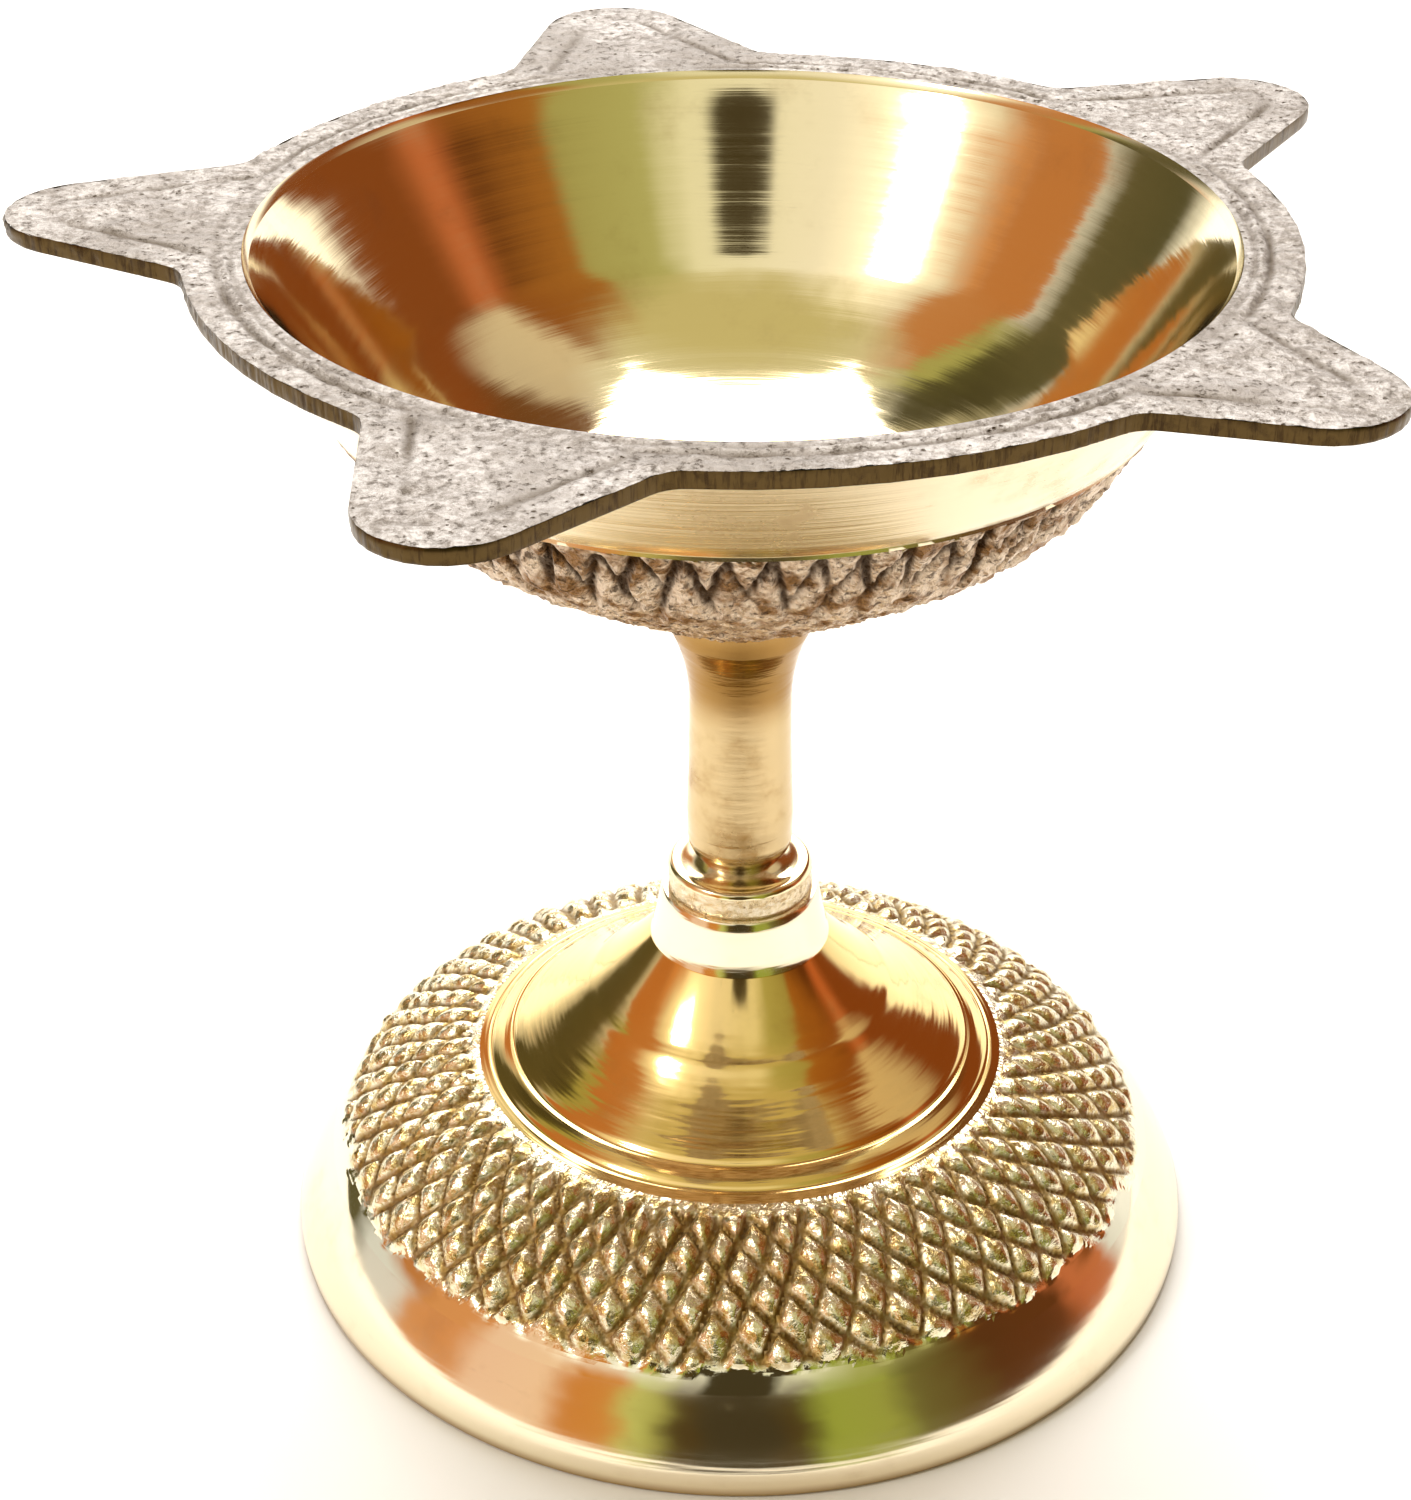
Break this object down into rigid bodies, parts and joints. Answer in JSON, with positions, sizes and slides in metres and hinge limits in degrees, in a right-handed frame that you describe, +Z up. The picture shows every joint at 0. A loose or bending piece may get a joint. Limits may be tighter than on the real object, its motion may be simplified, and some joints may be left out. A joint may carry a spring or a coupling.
{
  "type": "pedestal oil lamp",
  "caption": "Brass pedestal oil lamp: an open bowl with a flat flange and pointed wick lips, a turned stem, a collar and a hollow domed base that the stem screws into.",
  "frame": {"origin": "on the lamp's axis, in the plane on which the foot's rim stands", "axes": "+Z up along the lamp's axis, -Y towards the front of the lamp, +X to its right; wick lips at -111.5, -37, 35.5, 103 and 175.5 degrees about +Z from +X"},
  "size_m": [0.0854, 0.0886, 0.0755],
  "materials": {
    "base_brass": "turned and mirror polished, with a hand-cut band of diamonds",
    "collar_brass": "turned top, side left pitted as cast",
    "stem_brass": "turned and polished, faint turning marks",
    "stud_brass": "cut thread, unpolished",
    "bowl_brass": "sand-cast flange with a filed edge, mirror-turned inside, chiselled band below"
  },
  "bodies": {
    "base": {"base": "base_brass"},
    "collar": {"collar": "collar_brass"},
    "upper": {"stem": "stem_brass", "stem_stud": "stud_brass", "bowl_stud": "stud_brass", "bowl": "bowl_brass"}
  },
  "joints": [
    {"name": "stem_lift", "type": "slide", "parent": "base", "child": "collar", "axis": [0, 0, 1], "range_m": [0, 0.00876]},
    {"name": "stem_turn", "type": "hinge", "parent": "collar", "child": "upper", "pos_m": [0, 0, 0.0271], "axis": [0, 0, 1], "range_deg": [0, 4500]}
  ],
  "couplings": [
    {"joint": "stem_lift", "follows": "stem_turn", "m_per_rad": 0.00011141}
  ]
}
